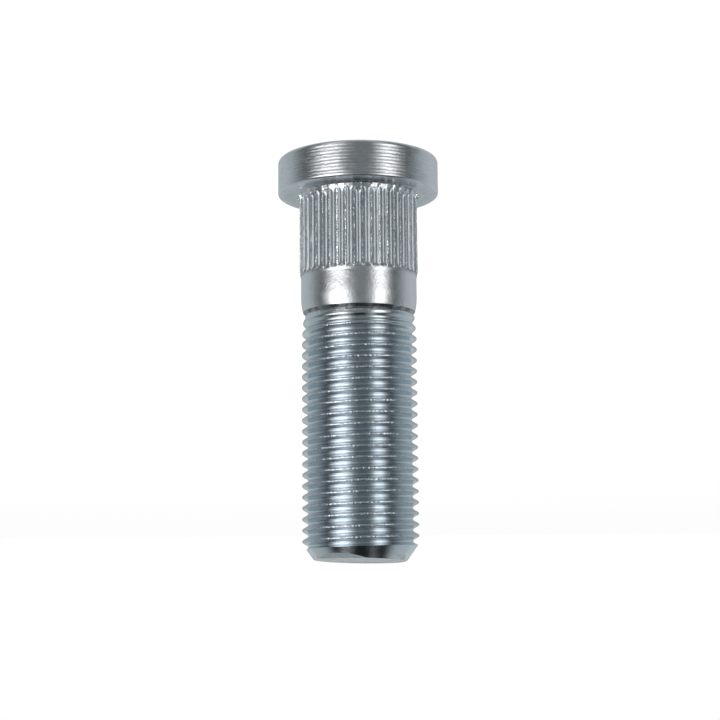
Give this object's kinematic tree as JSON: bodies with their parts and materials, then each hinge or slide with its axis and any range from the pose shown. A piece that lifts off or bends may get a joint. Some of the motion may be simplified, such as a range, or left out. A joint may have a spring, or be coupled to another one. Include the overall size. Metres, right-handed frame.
{
  "type": "wheel stud",
  "caption": "One-piece press-in wheel stud: a flat round head, a serrated shank, a plain neck and a fine right-hand thread to a chamfered tip.",
  "frame": {"origin": "centre of the head's flat outer face, on which the stud stands", "axes": "+Z along the stud's axis from the head to the threaded tip; -Y towards the side that the picture shows"},
  "size_m": [0.0224, 0.0224, 0.056],
  "materials": {
    "zinc_plated_steel": "bright clear zinc plate with a faint blue tone on forged, turned and rolled steel"
  },
  "bodies": {
    "root": {"wheel_stud": "zinc_plated_steel"}
  },
  "joints": []
}
